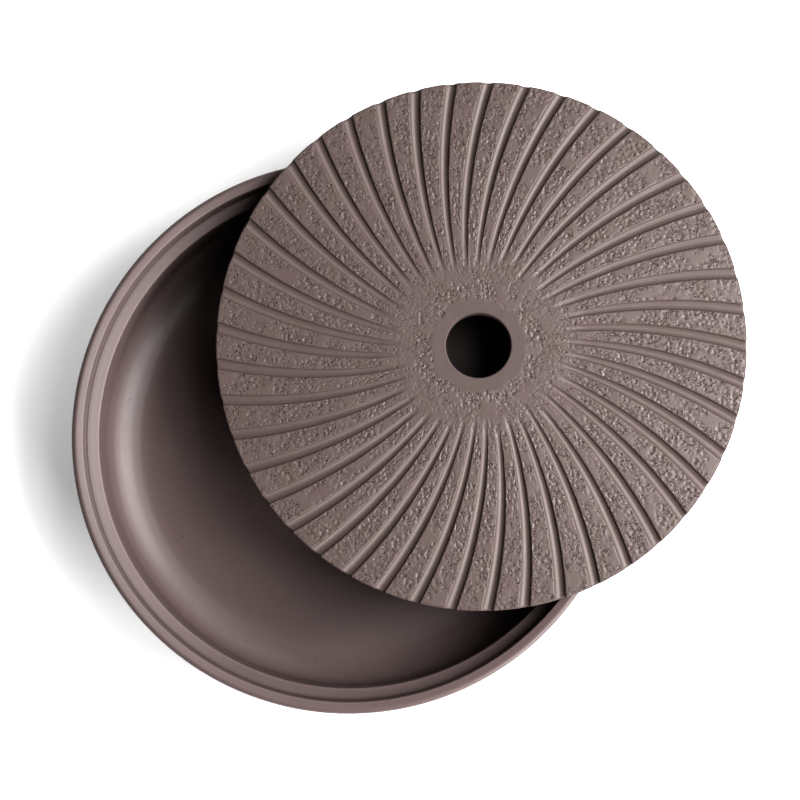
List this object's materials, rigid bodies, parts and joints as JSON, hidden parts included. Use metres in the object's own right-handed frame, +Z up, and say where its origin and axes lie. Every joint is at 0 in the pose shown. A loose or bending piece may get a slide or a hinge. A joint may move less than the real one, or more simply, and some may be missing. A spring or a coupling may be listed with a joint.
{
  "type": "tea tray",
  "caption": "Round unglazed clay tea tray: a shallow water tray with a stepped rim, and a loose fluted drain plate with a central hole that lies aside on the rim.",
  "frame": {"origin": "centre of the tray's foot ring, on the surface that the tray stands on", "axes": "+Z up along the tray's axis; the plate is pushed aside 33.9 degrees from +X towards +Y"},
  "size_m": [0.2179, 0.2039, 0.047],
  "materials": {
    "tray_clay": "smooth burnished unglazed clay, satin",
    "plate_clay": "pitted unglazed clay, matt, with smooth flutes"
  },
  "bodies": {
    "tray": {"water_tray": "tray_clay"},
    "plate": {"drain_plate": "plate_clay"}
  },
  "joints": [
    {"name": "plate_lift", "type": "slide", "parent": "tray", "child": "plate", "axis": [-0.54, -0.3629, 0.7594], "range_m": [0, 0.079]}
  ]
}
